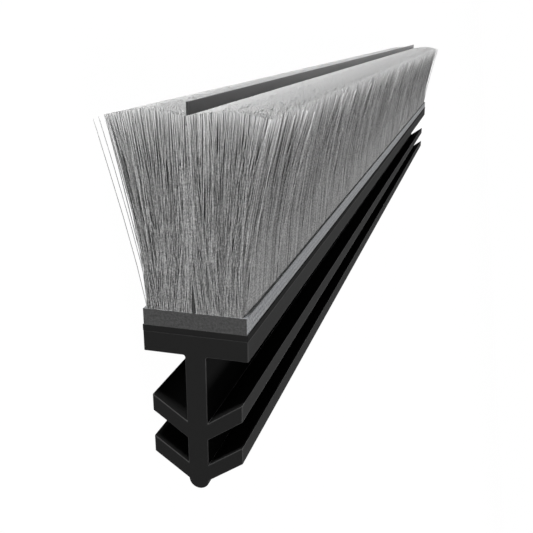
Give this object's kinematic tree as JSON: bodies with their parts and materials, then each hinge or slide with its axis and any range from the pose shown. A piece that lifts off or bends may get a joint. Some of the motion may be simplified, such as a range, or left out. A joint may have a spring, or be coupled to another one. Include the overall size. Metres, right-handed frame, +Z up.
{
  "type": "brush seal strip",
  "caption": "Brush seal strip with a barbed black carrier for a sawn groove, a woven backing strip, dense grey pile and a thin centre fin, lying on its side.",
  "frame": {"origin": "on the floor below the middle of the strip, at the centre of its bounding box's base", "axes": "+X along the strip from the end nearest the camera to the far end, +Y the way the pile points, level, +Z up; the strip lies on its left side, turned 7.47 degrees past flat so that its pile's outer edge and its last left barb both touch the floor"},
  "size_m": [0.14, 0.0252, 0.0118],
  "materials": {
    "carrier": "smooth extruded flexible black plastic with a soft sheen",
    "bonding_layer": "matt black bonding layer",
    "backing": "mid-grey woven polypropylene",
    "fin": "dark grey film",
    "pile": "light grey synthetic bristles with a slight sheen"
  },
  "bodies": {
    "root": {"carrier": "carrier", "bonding_layer": "bonding_layer", "backing": "backing", "fin": "fin", "left_pile": "pile", "right_pile": "pile"}
  },
  "joints": []
}
